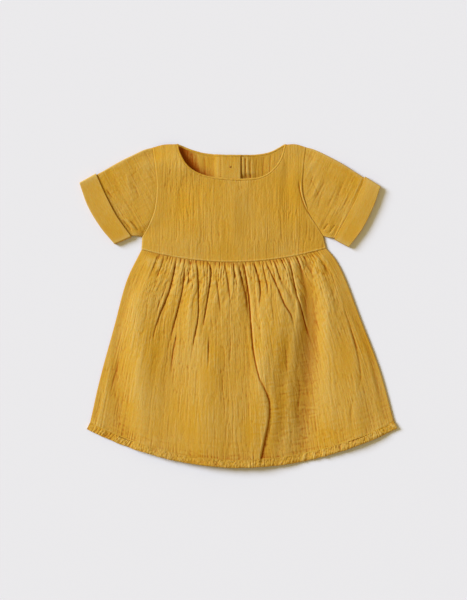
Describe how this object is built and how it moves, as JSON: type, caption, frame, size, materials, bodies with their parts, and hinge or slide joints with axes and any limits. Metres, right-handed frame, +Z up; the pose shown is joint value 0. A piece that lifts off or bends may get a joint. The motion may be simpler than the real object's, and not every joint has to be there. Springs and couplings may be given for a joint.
{
  "type": "short-sleeve dress",
  "caption": "Baby's short-sleeve dress in crinkled double gauze, laid flat: scoop neck, turned-up cuffs, gathered skirt and puckered hem band.",
  "frame": {"origin": "centre of the bounding box, at the level of the surface that the dress lies on", "axes": "+Z up out of the dress's front, +Y from the hem towards the neck, +X towards the wearer's left sleeve"},
  "size_m": [0.4128, 0.4201, 0.0081],
  "materials": {
    "gauze": "crinkled cotton double gauze, matt",
    "button": "satin"
  },
  "bodies": {
    "root": {"front_bodice": "gauze", "back_bodice_left": "gauze", "back_bodice_right": "gauze", "placket_facing": "gauze", "front_skirt": "gauze", "back_skirt": "gauze", "sleeve_left": "gauze", "sleeve_right": "gauze", "cuff_left": "gauze", "cuff_right": "gauze", "neck_binding_front": "gauze", "neck_binding_back_left": "gauze", "neck_binding_back_right": "gauze", "hem_band_front": "gauze", "hem_band_back": "gauze", "button_1": "button", "button_2": "button", "button_3": "button"}
  },
  "joints": []
}
